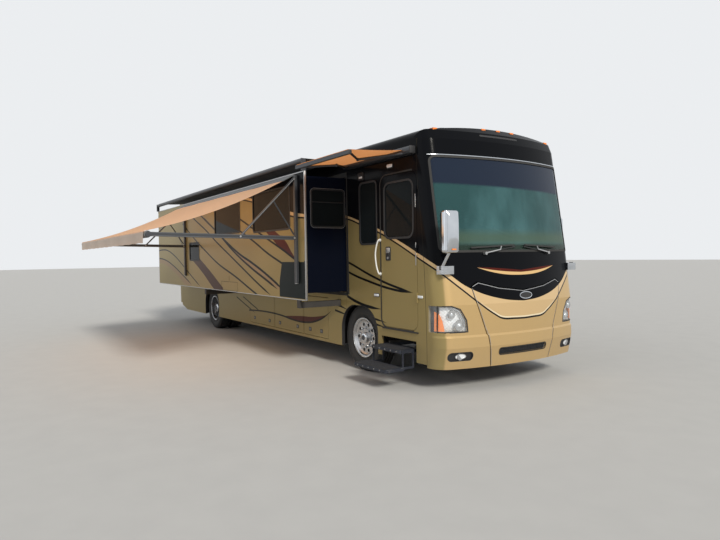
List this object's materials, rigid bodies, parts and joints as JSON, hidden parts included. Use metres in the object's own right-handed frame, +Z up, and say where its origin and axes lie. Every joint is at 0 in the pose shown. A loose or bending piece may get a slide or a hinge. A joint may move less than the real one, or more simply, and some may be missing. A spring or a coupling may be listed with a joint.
{
  "type": "motorhome",
  "caption": "Coach-style motorhome with an extended slide-out room, open patio and door awnings, opening doors, pull-out steps, steered front and twin rear wheels.",
  "frame": {"origin": "on the ground under the middle of the whole box, awnings and mirrors included", "axes": "+X forward along the coach, +Y to the driver's side, +Z up"},
  "size_m": [11.899, 5.6476, 3.6999],
  "materials": {
    "body_paint": "gloss metallic",
    "roof_white": "satin",
    "frame_black": "satin",
    "axle_steel": "matte",
    "engine_grey": "matte",
    "floor_board": "satin",
    "tinted_glass": "polished",
    "lamp_clear": "polished",
    "lamp_small": "polished",
    "mirror_shell": "polished",
    "mirror_face": "polished",
    "black_trim": "matte",
    "cab_plastic": "matte",
    "seat_leather": "satin",
    "tyre_rubber": "matte",
    "wheel_alloy": "polished",
    "awning_alloy": "satin",
    "awning_fabric": "woven",
    "step_black": "satin"
  },
  "bodies": {
    "coach": {"chassis_frame": "frame_black", "chassis_beams": "frame_black", "chassis_brackets": "frame_black", "front_axle": "axle_steel", "rear_axle": "axle_steel", "engine_block": "engine_grey", "tow_receiver": "frame_black", "house_floor": "floor_board", "entry_well": "floor_board", "wall_right": "body_paint", "wall_right_strips": "body_paint", "wall_left": "body_paint", "skirt_right": "body_paint", "skirt_left": "body_paint", "roof": "roof_white", "front_cap": "body_paint", "front_brow": "body_paint", "rear_cap": "body_paint", "windshield": "tinted_glass", "side_glass": "tinted_glass", "headlamps": "lamp_clear", "small_lamps": "lamp_small", "mirror_housings": "mirror_shell", "mirror_glass": "mirror_face", "wipers": "black_trim", "roof_units": "roof_white", "roof_fittings": "roof_white", "dashboard": "cab_plastic", "cab_seats": "seat_leather", "door_awning": "awning_alloy", "door_awning_cloth": "awning_fabric"},
    "knuckle_right": {"knuckle_right": "axle_steel"},
    "knuckle_left": {"knuckle_left": "axle_steel"},
    "wheel_front_right": {"front_tyre_right": "tyre_rubber", "front_rim_right": "wheel_alloy"},
    "wheel_front_left": {"front_tyre_left": "tyre_rubber", "front_rim_left": "wheel_alloy"},
    "wheels_rear_right": {"rear_tyres_right": "tyre_rubber", "rear_rims_right": "wheel_alloy"},
    "wheels_rear_left": {"rear_tyres_left": "tyre_rubber", "rear_rims_left": "wheel_alloy"},
    "entry_door": {"entry_door": "body_paint", "entry_door_glass": "tinted_glass"},
    "entry_steps": {"entry_steps": "step_black"},
    "slide_room": {"slide_room": "body_paint", "slide_room_decks": "body_paint", "slide_room_ends": "body_paint", "slide_glass": "tinted_glass", "slide_runners": "frame_black", "awning_frame": "awning_alloy", "awning_rollers": "awning_alloy", "awning_cloth": "awning_fabric", "topper_cloth": "awning_fabric"},
    "front_hatch": {"front_hatch": "body_paint"},
    "engine_door": {"engine_door": "body_paint"},
    "bay_door_right_front": {"bay_door_right_front": "body_paint"},
    "bay_door_right_middle": {"bay_door_right_middle": "body_paint"},
    "bay_door_right_rear": {"bay_door_right_rear": "body_paint"},
    "bay_door_left_front": {"bay_door_left_front": "body_paint"},
    "bay_door_left_rear": {"bay_door_left_rear": "body_paint"}
  },
  "joints": [
    {"name": "steer_right", "type": "hinge", "parent": "coach", "child": "knuckle_right", "pos_m": [3.8905, 0.50775, 0.506], "axis": [0, 0, 1], "range_deg": [-38, 38]},
    {"name": "front_wheel_right_spin", "type": "hinge", "parent": "knuckle_right", "child": "wheel_front_right", "pos_m": [3.8905, 0.31775, 0.506], "axis": [0, 1, 0], "continuous": true},
    {"name": "rear_wheels_right_spin", "type": "hinge", "parent": "coach", "child": "wheels_rear_right", "pos_m": [-2.7995, 0.31775, 0.506], "axis": [0, 1, 0], "continuous": true},
    {"name": "steer_left", "type": "hinge", "parent": "coach", "child": "knuckle_left", "pos_m": [3.8905, 2.30775, 0.506], "axis": [0, 0, 1], "range_deg": [-38, 38]},
    {"name": "front_wheel_left_spin", "type": "hinge", "parent": "knuckle_left", "child": "wheel_front_left", "pos_m": [3.8905, 2.49775, 0.506], "axis": [0, 1, 0], "continuous": true},
    {"name": "rear_wheels_left_spin", "type": "hinge", "parent": "coach", "child": "wheels_rear_left", "pos_m": [-2.7995, 2.49775, 0.506], "axis": [0, 1, 0], "continuous": true},
    {"name": "entry_door_swing", "type": "hinge", "parent": "coach", "child": "entry_door", "pos_m": [5.2785, 0.11475, 0.747], "axis": [0, 0, 1], "range_deg": [0, 100]},
    {"name": "steps_slide", "type": "slide", "parent": "coach", "child": "entry_steps", "axis": [0, 1, 0], "range_m": [0, 0.5]},
    {"name": "room_slide", "type": "slide", "parent": "coach", "child": "slide_room", "axis": [0, 1, 0], "range_m": [0, 0.675], "deforming": ["topper_cloth"]},
    {"name": "front_hatch_lift", "type": "hinge", "parent": "coach", "child": "front_hatch", "pos_m": [5.7955, 1.40775, 1.45], "axis": [0, -1, 0], "range_deg": [0, 60]},
    {"name": "engine_door_lift", "type": "hinge", "parent": "coach", "child": "engine_door", "pos_m": [-5.8635, 1.40775, 1.427], "axis": [0, 1, 0], "range_deg": [0, 75]},
    {"name": "bay_door_right_front_lift", "type": "hinge", "parent": "coach", "child": "bay_door_right_front", "pos_m": [2.5005, 0.13075, 1.05], "axis": [-1, 0, 0], "range_deg": [0, 85]},
    {"name": "bay_door_right_middle_lift", "type": "hinge", "parent": "coach", "child": "bay_door_right_middle", "pos_m": [1.4505, 0.13075, 1.05], "axis": [-1, 0, 0], "range_deg": [0, 85]},
    {"name": "bay_door_right_rear_lift", "type": "hinge", "parent": "coach", "child": "bay_door_right_rear", "pos_m": [0.2305, 0.13075, 1.05], "axis": [-1, 0, 0], "range_deg": [0, 85]},
    {"name": "bay_door_left_front_lift", "type": "hinge", "parent": "coach", "child": "bay_door_left_front", "pos_m": [2.2155, 2.68475, 1.05], "axis": [1, 0, 0], "range_deg": [0, 85]},
    {"name": "bay_door_left_rear_lift", "type": "hinge", "parent": "coach", "child": "bay_door_left_rear", "pos_m": [0.5555, 2.68475, 1.05], "axis": [1, 0, 0], "range_deg": [0, 85]}
  ],
  "couplings": [
    {"joint": "steer_left", "follows": "steer_right", "ratio": 1}
  ]
}
